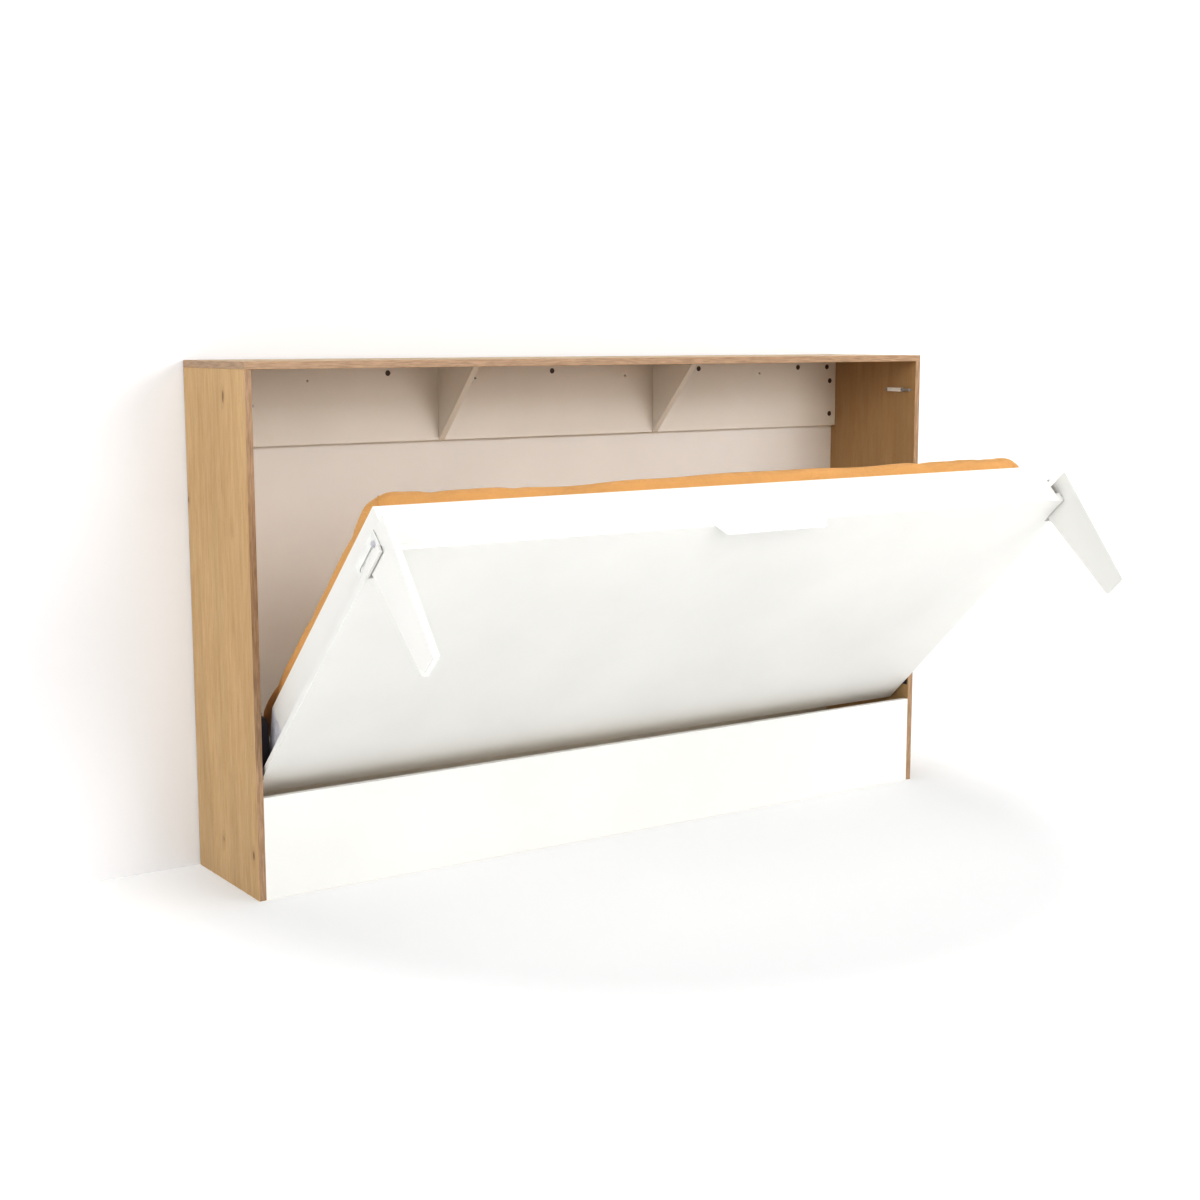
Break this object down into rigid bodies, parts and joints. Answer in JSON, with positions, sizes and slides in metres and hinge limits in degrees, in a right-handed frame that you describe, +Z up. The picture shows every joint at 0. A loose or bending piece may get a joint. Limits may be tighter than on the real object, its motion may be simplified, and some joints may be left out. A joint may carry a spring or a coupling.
{
  "type": "wall bed",
  "caption": "Horizontal single wall bed that folds down sideways out of a low oak cabinet fixed to the wall, with swinging legs and a fitted mattress.",
  "frame": {"origin": "on the floor, against the wall, at the middle of the cabinet's length", "axes": "+X along the bed to the right as seen from the room, +Y into the wall, +Z up"},
  "size_m": [2.15, 1.1979, 1.294],
  "materials": {
    "oak_board": "light oak decor on 18 mm board, vertical grain, satin",
    "white_board": "white melamine-faced board, satin",
    "cream_board": "cream melamine-faced board, satin",
    "back_board": "thin white-lacquered fibreboard",
    "birch": "plain birch",
    "mattress_cover": "orange jersey fitted sheet",
    "white_steel": "white powder coat",
    "black_steel": "black powder coat",
    "zinc_steel": "bright zinc plate",
    "dark_cam": "dark bronze cam",
    "white_plastic": "white nylon",
    "grey_plastic": "grey moulded plastic"
  },
  "bodies": {
    "carcass": {"side_panel_left": "oak_board", "side_panel_right": "oak_board", "top_panel": "oak_board", "plinth": "white_board", "back_panel": "back_board", "upper_rail": "cream_board", "lower_rail": "cream_board", "gusset_left": "cream_board", "gusset_right": "cream_board", "rail_cams": "dark_cam", "damper_body_left": "grey_plastic", "damper_body_right": "grey_plastic", "damper_clips": "white_plastic", "hinge_plate_left": "black_steel", "hinge_plate_right": "black_steel", "hinge_plate_screws": "black_steel", "hinge_housing_left": "black_steel", "hinge_housing_right": "black_steel", "pivot_pin_left": "zinc_steel", "pivot_pin_right": "zinc_steel", "torsion_spring_left": "zinc_steel", "torsion_spring_right": "zinc_steel"},
    "bed_frame": {"front_panel": "white_board", "free_edge_board": "white_board", "hinge_edge_board": "white_board", "end_board_left": "white_board", "end_board_right": "white_board", "slat_cleat_free_edge": "birch", "slat_cleat_hinge_edge": "birch", "slat_01": "birch", "slat_02": "birch", "slat_03": "birch", "slat_04": "birch", "slat_05": "birch", "slat_06": "birch", "slat_07": "birch", "slat_08": "birch", "slat_09": "birch", "slat_10": "birch", "mattress": "mattress_cover", "handle_plate": "white_steel", "handle_screws": "white_steel", "hinge_bracket_left": "zinc_steel", "hinge_bracket_right": "zinc_steel", "hinge_bush_left": "white_plastic", "hinge_bush_right": "white_plastic", "bracket_screws": "zinc_steel", "leg_guide_left": "white_steel", "leg_guide_right": "white_steel", "leg_bolts": "zinc_steel", "leg_nuts": "zinc_steel"},
    "leg_left": {"leg_left": "white_board", "leg_bush_left": "white_plastic", "foot_glide_left": "white_plastic"},
    "leg_right": {"leg_right": "white_board", "leg_bush_right": "white_plastic", "foot_glide_right": "white_plastic"},
    "plunger_left": {"damper_plunger_left": "grey_plastic"},
    "plunger_right": {"damper_plunger_right": "grey_plastic"}
  },
  "joints": [
    {"name": "bed_fold", "type": "hinge", "parent": "carcass", "child": "bed_frame", "pos_m": [0, -0.319, 0.341], "axis": [1, 0, 0], "range_deg": [-46.1, 43.9], "stiffness_Nm_per_rad": 300, "springref_deg": -46.1},
    {"name": "leg_left_swing", "type": "hinge", "parent": "bed_frame", "child": "leg_left", "pos_m": [-1.0325, -0.95678, 0.92283], "axis": [-1, 0, 0], "range_deg": [0, 180]},
    {"name": "leg_right_swing", "type": "hinge", "parent": "bed_frame", "child": "leg_right", "pos_m": [1.0325, -0.95678, 0.92283], "axis": [-1, 0, 0], "range_deg": [0, 180]},
    {"name": "damper_left_press", "type": "slide", "parent": "carcass", "child": "plunger_left", "axis": [0, 1, 0], "range_m": [0, 0.008], "stiffness_N_per_m": 150, "springref_m": -0.002},
    {"name": "damper_right_press", "type": "slide", "parent": "carcass", "child": "plunger_right", "axis": [0, 1, 0], "range_m": [0, 0.008], "stiffness_N_per_m": 150, "springref_m": -0.002}
  ]
}
